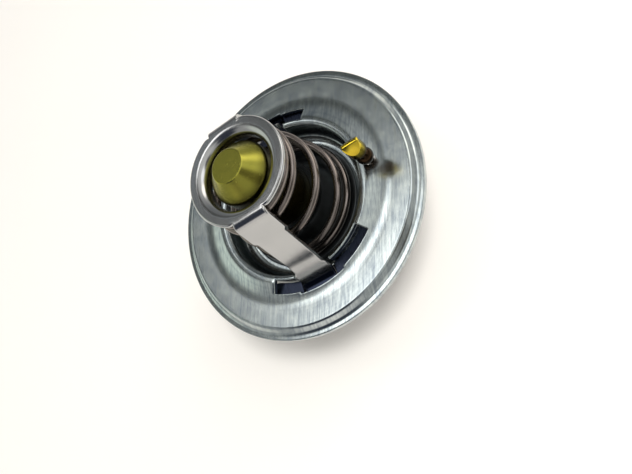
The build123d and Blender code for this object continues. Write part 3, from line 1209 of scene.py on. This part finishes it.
@dataclass
class MainSpring:
    """The conical main spring: its wire follows a helix with a closed turn at each end."""

    wire_d: float = 1.5
    top_r: float = 8.85
    foot_r: float = 11.3
    top_z: float = 17.2
    foot_z: float = -2.6
    turns: float = 4.65
    closed_turns: float = 1.0
    ramp_turns: float = 0.3
    closed_pitch: float = 1.52
    end_angle: float = 150.0
    points_per_turn: int = 72
    points_round_wire: int = 20
    lift: float = 8.0

    def tree(self) -> bpy.types.NodeTree:
        """Builds the geometry tree that winds the wire.

        Returns:
            A tree whose inputs are the spring's sizes, in metres, radians and turns.
        """
        tree = bpy.data.node_groups.new("conical_spring", "GeometryNodeTree")
        face = tree.interface
        sizes_in = (
            "Top Radius",
            "Foot Radius",
            "Top Height",
            "Drop",
            "Wire Radius",
            "Turns",
            "Closed Turns",
            "Ramp Turns",
            "Closed Pitch",
            "End Angle",
        )
        for name in sizes_in:
            face.new_socket(name, in_out="INPUT", socket_type="NodeSocketFloat")
        face.new_socket("Points", in_out="INPUT", socket_type="NodeSocketInt")
        face.new_socket("Wire Points", in_out="INPUT", socket_type="NodeSocketInt")
        face.new_socket("Material", in_out="INPUT", socket_type="NodeSocketMaterial")
        face.new_socket("Geometry", in_out="OUTPUT", socket_type="NodeSocketGeometry")
        sizes = add_node(tree, "NodeGroupInput").outputs

        def maths(operation: str, *values: object) -> bpy.types.NodeSocket:
            """Adds one sum and returns its result."""
            node = add_node(tree, "ShaderNodeMath", {"operation": operation}, dict(enumerate(values)))
            return node.outputs[0]

        def wound(start: bpy.types.NodeSocket) -> bpy.types.NodeSocket:
            """Turns gained by a ramp of the pitch, which opens linearly over it.

            Args:
                start: The turn at which the ramp starts.

            Returns:
                A socket with the turns gained so far.
            """
            past = maths("MAXIMUM", maths("SUBTRACT", turn, start), 0.0)
            within = maths("MINIMUM", past, sizes["Ramp Turns"])
            squared = maths("MULTIPLY", within, within)
            half = maths("DIVIDE", squared, maths("MULTIPLY", sizes["Ramp Turns"], 2.0))
            return maths("ADD", half, maths("SUBTRACT", past, within))

        index = add_node(tree, "GeometryNodeInputIndex").outputs[0]
        last = maths("SUBTRACT", sizes["Points"], 1.0)
        turn = maths("MULTIPLY", maths("DIVIDE", index, last), sizes["Turns"])
        far_closed = maths("SUBTRACT", sizes["Turns"], sizes["Closed Turns"])
        far_ramp = maths("SUBTRACT", far_closed, sizes["Ramp Turns"])
        opened = maths("SUBTRACT", wound(sizes["Closed Turns"]), wound(far_ramp))
        open_turns = maths("SUBTRACT", far_ramp, sizes["Closed Turns"])
        closed_drop = maths("MULTIPLY", sizes["Closed Pitch"], sizes["Turns"])
        extra_pitch = maths("DIVIDE", maths("SUBTRACT", sizes["Drop"], closed_drop), open_turns)
        closed_fall = maths("MULTIPLY", sizes["Closed Pitch"], turn)
        fallen = maths("ADD", closed_fall, maths("MULTIPLY", extra_pitch, opened))
        share = maths("DIVIDE", fallen, sizes["Drop"])
        flare = maths("SUBTRACT", sizes["Foot Radius"], sizes["Top Radius"])
        radius = maths("MULTIPLY_ADD", flare, share, sizes["Top Radius"])
        angle = maths("SUBTRACT", sizes["End Angle"], maths("MULTIPLY", turn, 2 * math.pi))
        place = add_node(
            tree,
            "ShaderNodeCombineXYZ",
            inputs={
                "X": maths("MULTIPLY", radius, maths("COSINE", angle)),
                "Y": maths("MULTIPLY", radius, maths("SINE", angle)),
                "Z": maths("SUBTRACT", sizes["Top Height"], fallen),
            },
        )
        line = add_node(tree, "GeometryNodeMeshLine", inputs={"Count": sizes["Points"]})
        wound_line = add_node(
            tree,
            "GeometryNodeSetPosition",
            inputs={"Geometry": line.outputs[0], "Position": place.outputs[0]},
        )
        curve = add_node(tree, "GeometryNodeMeshToCurve", inputs={"Mesh": wound_line.outputs[0]})
        along = add_node(tree, "GeometryNodeSplineParameter").outputs["Length"]
        marked = add_node(
            tree,
            "GeometryNodeStoreNamedAttribute",
            {"data_type": "FLOAT", "domain": "POINT"},
            {"Geometry": curve.outputs[0], "Name": "along", "Value": along},
        )
        section = add_node(
            tree,
            "GeometryNodeCurvePrimitiveCircle",
            inputs={"Resolution": sizes["Wire Points"], "Radius": sizes["Wire Radius"]},
        )
        around = add_node(tree, "GeometryNodeInputPosition").outputs[0]
        in_mm = add_node(tree, "ShaderNodeVectorMath", {"operation": "SCALE"}, {0: around, "Scale": 1 / MM})
        marked_section = add_node(
            tree,
            "GeometryNodeStoreNamedAttribute",
            {"data_type": "FLOAT_VECTOR", "domain": "POINT"},
            {"Geometry": section.outputs[0], "Name": "around", "Value": in_mm.outputs[0]},
        )
        tube = add_node(
            tree,
            "GeometryNodeCurveToMesh",
            inputs={
                "Curve": marked.outputs[0],
                "Profile Curve": marked_section.outputs[0],
                "Fill Caps": True,
            },
        )
        smooth = add_node(tree, "GeometryNodeSetShadeSmooth", inputs={"Geometry": tube.outputs[0]})
        real = add_node(tree, "GeometryNodeRealizeInstances", inputs={"Geometry": smooth.outputs[0]})
        dressed = add_node(
            tree,
            "GeometryNodeSetMaterial",
            inputs={"Geometry": real.outputs[0], "Material": sizes["Material"]},
        )
        add_node(tree, "NodeGroupOutput", inputs={"Geometry": dressed.outputs[0]})
        return tree

    def build(self) -> bpy.types.Object:
        """Winds the spring and makes it a plain mesh.

        Returns:
            The finished piece.
        """
        mesh = bpy.data.meshes.new("main_spring_wire")
        piece = bpy.data.objects.new("main_spring_wire", mesh)
        bpy.context.scene.collection.objects.link(piece)
        tree = self.tree()
        winding = piece.modifiers.new("winding", "NODES")
        winding.node_group = tree
        half_wire = self.wire_d / 2
        values = {
            "Top Radius": self.top_r * MM,
            "Foot Radius": self.foot_r * MM,
            "Top Height": (self.top_z - half_wire) * MM,
            "Drop": (self.top_z - self.foot_z - self.wire_d) * MM,
            "Wire Radius": half_wire * MM,
            "Turns": self.turns,
            "Closed Turns": self.closed_turns,
            "Ramp Turns": self.ramp_turns,
            "Closed Pitch": self.closed_pitch * MM,
            "End Angle": math.radians(self.end_angle),
            "Points": round(self.turns * self.points_per_turn) + 1,
            "Wire Points": self.points_round_wire,
            "Material": DRAWN_WIRE.material(),
        }
        for item in tree.interface.items_tree:
            if item.item_type == "SOCKET" and item.in_out == "INPUT":
                winding[item.identifier] = values[item.name]
        return settle(piece)


@dataclass
class JigglePin:
    """The jiggle pin: a headed brass pin whose outer end is pinched to a chisel."""

    circle_r: float = 17.75
    angle: float = 84.0
    ball_r: float = 1.6
    ball_z: float = 3.15
    neck_r: float = 0.9
    head_r: float = 1.7
    head_foot_z: float = 5.0
    flare: float = 0.8
    tip_z: float = 9.3
    pinch_z: float = 7.5
    chisel: float = 0.5
    shaft_r: float = 0.8
    rivet_r: float = 1.6
    rivet_z: tuple[float, float] = (-2.9, -2.0)
    rivet_fillets: tuple[float, ...] = (0.4, 0.15, 0.0)
    head_fillets: tuple[float, ...] = (0.3, 0.4, 0.3)
    pinch_edge_angle: float = 32.0
    pinch_rounding: float = 0.07
    pinch_segments: int = 2
    segments: int = 64
    ball_steps: int = 20
    fillet_steps: int = 5

    def section(self) -> Line:
        """Half section of the pin before its head is pinched.

        Returns:
            Radius and height of each point, from the rivet's foot to the tip.
        """
        neck_join = math.asin(self.neck_r / self.ball_r)
        shaft_join = math.pi - math.asin(self.shaft_r / self.ball_r)
        ball = []
        for step in range(self.ball_steps + 1):
            turn = shaft_join + (neck_join - shaft_join) * step / self.ball_steps
            ball.append((self.ball_r * math.sin(turn), self.ball_z + self.ball_r * math.cos(turn)))
        low, high = self.rivet_z
        foot = rounded_line(
            [
                (0, low),
                (self.rivet_r, low),
                (self.rivet_r, high),
                (self.shaft_r, high),
                (self.shaft_r, ball[0][1]),
            ],
            self.rivet_fillets,
            self.fillet_steps,
        )
        head = rounded_line(
            [
                ball[-1],
                (self.neck_r, self.head_foot_z),
                (self.head_r, self.head_foot_z + self.flare),
                (self.head_r, self.tip_z),
                (0, self.tip_z),
            ],
            self.head_fillets,
            self.fillet_steps,
        )
        return [*foot[:-1], *(Vector(p) for p in ball[:-1]), *head]

    def build(self) -> bpy.types.Object:
        """Turns the pin, pinches its head between two flats and rounds their edges.

        Returns:
            The finished piece.
        """
        bm = turned_mesh(self.section(), self.segments)
        run = self.head_r - self.chisel / 2
        rise = self.tip_z - self.pinch_z
        for side in (1, -1):
            normal = Vector((side * rise, 0, run)).normalized()
            cut = bmesh.ops.bisect_plane(
                bm,
                geom=[*bm.verts, *bm.edges, *bm.faces],
                plane_co=Vector((side * self.head_r, 0, self.pinch_z)),
                plane_no=normal,
                clear_outer=True,
            )
            rim = [edge for edge in cut["geom_cut"] if isinstance(edge, bmesh.types.BMEdge)]
            bmesh.ops.contextual_create(bm, geom=rim)
        centre = at_angle(Vector((self.circle_r, 0.0)), self.angle)
        bmesh.ops.translate(bm, verts=bm.verts, vec=centre)
        piece = finish_mesh(bm, "jiggle_pin_brass", BRIGHT_BRASS)
        bevel = piece.modifiers.new("pinched_edges", "BEVEL")
        bevel.limit_method = "ANGLE"
        bevel.angle_limit = math.radians(self.pinch_edge_angle)
        bevel.width = self.pinch_rounding * MM
        bevel.segments = self.pinch_segments
        return settle(piece)


@dataclass(frozen=True)
class Glow:
    """One soft patch of the room that the metal reflects, brighter or darker than the rest of it."""

    toward: tuple[float, float, float]
    inner_degrees: float
    outer_degrees: float
    colour: str
    strength: float


@dataclass
class Studio:
    """The pale floor, the soft room, the key lamp and the camera at the photograph's viewing angle."""

    floor_z: float = -18.75
    floor_half: float = 600.0
    paper_lift: float = 0.12
    paper_lift_colour: str = "#FFF4E2"
    camera_place: tuple[float, float, float] = (56.64, 43.86, 92.06)
    camera_right: tuple[float, float, float] = (0.29316, 0.80532, -0.51529)
    camera_down: tuple[float, float, float] = (0.85745, -0.45987, -0.23088)
    lens_mm: float = 34.18
    sensor_mm: float = 36.0
    clip_start_m: float = 0.001
    key_toward: tuple[float, float, float] = (0.14, 0.385, 0.912)
    key_long_side: tuple[float, float, float] = (0.5, -0.86, 0.0)
    key_distance: float = 500.0
    key_size: tuple[float, float] = (130.0, 130.0)
    key_radiance: float = 27.0
    key_colour: str = "#FFFDF8"
    room: Glow = Glow((0, 0, 1), 180.0, 180.0, "#EEEFEE", 0.56)
    patches: tuple[Glow, ...] = (
        Glow((-0.3, -0.87, 0.38), 8.0, 26.0, "#EAF2E8", 1.1),
        Glow((0.1, 0.45, 0.88), 22.0, 50.0, "#F6F7F4", 0.95),
        Glow((0.0, 0.68, 0.73), 9.0, 20.0, "#FDFDFF", 1.9),
        Glow((0.87, -0.4, 0.1), 12.0, 30.0, "#FBF6F2", 1.0),
        Glow((-0.93, -0.05, 0.4), 10.0, 30.0, "#D3D8DC", 0.36),
        Glow((-0.56, -0.4, 0.73), 12.0, 30.0, "#D4D8D4", 0.155),
        Glow((-0.6, -0.47, 0.65), 3.0, 9.0, "#DCE4EA", 0.45),
        Glow((0.2, -0.42, 0.88), 11.0, 21.0, "#A3B0D0", 0.12),
        Glow((0.62, -0.42, 0.66), 16.0, 26.0, "#A3B0D0", 0.12),
        Glow((0.52, 0.6, 0.6), 10.0, 22.0, "#D8D0C4", 0.2),
        Glow((-0.48, 0.72, 0.5), 10.0, 20.0, "#FFFAF2", 2.6),
        Glow((-0.33, -0.305, 0.89), 8.0, 10.2, "#FFFFFF", 2.9),
    )

    def build(self) -> None:
        """Makes the floor, the world, the lights and the camera."""
        self.lay_floor()
        self.light_room()
        self.hang_key()
        self.place_camera()

    def lay_floor(self) -> None:
        """Lays a wide pale sheet just under the bridge's nose."""
        half = self.floor_half
        bm = bmesh.new()
        spots = ((-half, -half), (half, -half), (half, half), (-half, half))
        bm.faces.new([bm.verts.new((x, y, self.floor_z)) for x, y in spots])
        floor = finish_mesh(bm, "floor", MATT_PAPER)
        self.lift_paper(floor.data.materials[0])

    def lift_paper(self, paper: bpy.types.Material) -> None:
        """Lifts the paper towards white where the camera or the metal looks at it.

        Args:
            paper: The floor's material.
        """
        tree = paper.node_tree
        output = next(node for node in tree.nodes if node.type == "OUTPUT_MATERIAL")
        lit = output.inputs["Surface"].links[0].from_socket
        rays = add_node(tree, "ShaderNodeLightPath").outputs
        seen = rays["Is Camera Ray"]
        for kind in ("Is Glossy Ray", "Is Transmission Ray"):
            either = add_node(tree, "ShaderNodeMath", {"operation": "MAXIMUM"}, {0: seen, 1: rays[kind]})
            seen = either.outputs[0]
        strength = add_node(tree, "ShaderNodeMath", {"operation": "MULTIPLY"}, {0: seen, 1: self.paper_lift})
        lift = add_node(
            tree,
            "ShaderNodeEmission",
            inputs={"Color": srgb(self.paper_lift_colour), "Strength": strength.outputs[0]},
        )
        both = add_node(tree, "ShaderNodeAddShader", inputs={0: lit, 1: lift.outputs[0]})
        tree.links.new(both.outputs[0], output.inputs["Surface"])

    def light_room(self) -> None:
        """Fills the room with soft light, and shades in the patches that the metal mirrors."""
        world = bpy.data.worlds.new("studio")
        bpy.context.scene.world = world
        world.use_nodes = True
        tree = world.node_tree
        tree.nodes.clear()
        way = add_node(tree, "ShaderNodeTexCoord").outputs["Generated"]
        level = add_node(tree, "ShaderNodeMix", {"data_type": "RGBA"}, {0: 0.0, 6: self.light(self.room)})
        for patch in self.patches:
            toward = Vector(patch.toward).normalized()
            facing = add_node(
                tree, "ShaderNodeVectorMath", {"operation": "DOT_PRODUCT"}, {0: way, 1: toward}
            )
            share = add_node(
                tree,
                "ShaderNodeMapRange",
                {"interpolation_type": "SMOOTHSTEP"},
                {
                    "Value": facing.outputs["Value"],
                    "From Min": math.cos(math.radians(patch.outer_degrees)),
                    "From Max": math.cos(math.radians(patch.inner_degrees)),
                },
            )
            level = add_node(
                tree,
                "ShaderNodeMix",
                {"data_type": "RGBA"},
                {0: share.outputs["Result"], 6: level.outputs[2], 7: self.light(patch)},
            )
        glow = add_node(tree, "ShaderNodeBackground", inputs={"Color": level.outputs[2]})
        add_node(tree, "ShaderNodeOutputWorld", inputs={"Surface": glow.outputs[0]})

    @staticmethod
    def light(patch: Glow) -> tuple[float, float, float, float]:
        """Linear colour of a patch, at its strength."""
        return tuple(part * patch.strength for part in srgb(patch.colour)[:3]) + (1.0,)

    def hang_key(self) -> None:
        """Hangs the key lamp, which lights the part and doesn't show in the metal."""
        lamp = bpy.data.lights.new("key", "AREA")
        lamp.shape = "RECTANGLE"
        lamp.size, lamp.size_y = self.key_size[0] * MM, self.key_size[1] * MM
        lamp.energy = self.key_radiance * math.pi * lamp.size * lamp.size_y
        lamp.color = srgb(self.key_colour)[:3]
        box = bpy.data.objects.new("key", lamp)
        box.visible_glossy = False
        bpy.context.scene.collection.objects.link(box)
        away = Vector(self.key_toward).normalized()
        long_side = Vector(self.key_long_side)
        long_side = (long_side - away * long_side.dot(away)).normalized()
        turn = Matrix((long_side, away.cross(long_side), away)).transposed().to_4x4()
        box.matrix_world = Matrix.Translation(away * self.key_distance * MM) @ turn

    def place_camera(self) -> None:
        """Places the camera at the photograph's viewing angle."""
        right = Vector(self.camera_right)
        up = -Vector(self.camera_down)
        turn = Matrix((right, up, right.cross(up))).transposed().to_4x4()
        lens = bpy.data.cameras.new("camera")
        lens.sensor_width = self.sensor_mm
        lens.lens = self.lens_mm
        lens.clip_start = self.clip_start_m
        camera = bpy.data.objects.new("camera", lens)
        bpy.context.scene.collection.objects.link(camera)
        camera.matrix_world = Matrix.Translation(Vector(self.camera_place) * MM) @ turn
        bpy.context.scene.camera = camera


KEPT_NODES: dict[str, Finish] = {
    "bridge": SHADE_DARK_STRIP,
    "main_valve": SHADED_STAMPED_ZINC,
    "wax_case": RAW_BRASS,
    "piston_guide": RAW_BRASS,
    "piston": GROUND_STEEL,
    "piston_seal": NITRILE,
    "elastomer_sleeve": NITRILE,
    "backup_washer": FLUOROPOLYMER,
    "wax_charge": COPPER_WAX,
}


def stand_in(piece: bpy.types.Object, node: str, body: str) -> None:
    """Puts a finished piece in a node's place on its body.

    Args:
        piece: The finished piece, at the origin.
        node: The node that it replaces.
        body: The body that it rides on.
    """
    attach(piece, body)
    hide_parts(node)
    LOG.info("%s stands for %s on %s, %d faces", piece.name, node, body, len(piece.data.polygons))


def main() -> None:
    """Loads the frame, builds the pieces, dresses the kept nodes and sets up the studio."""
    logging.basicConfig(level=logging.INFO, format="%(name)s: %(message)s")
    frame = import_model()
    bpy.context.scene.view_settings.view_transform = "Standard"
    for node, finish in KEPT_NODES.items():
        mesh = frame["nodes"][node].data
        mesh.materials.clear()
        mesh.materials.append(finish.material())
        LOG.info("%s keeps its form in %s", node, finish.name)
    stand_in(Flange().build(), "flange", "housing")
    stand_in(SpringFrame().build(), "spring_frame", "housing")
    spring = MainSpring()
    wire = spring.build()
    stand_in(wire, "main_spring", "housing")
    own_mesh(wire)
    stand_in(JigglePin().build(), "jiggle_pin", "vent_pin")
    Studio().build()


if __name__ == "__main__":
    main()
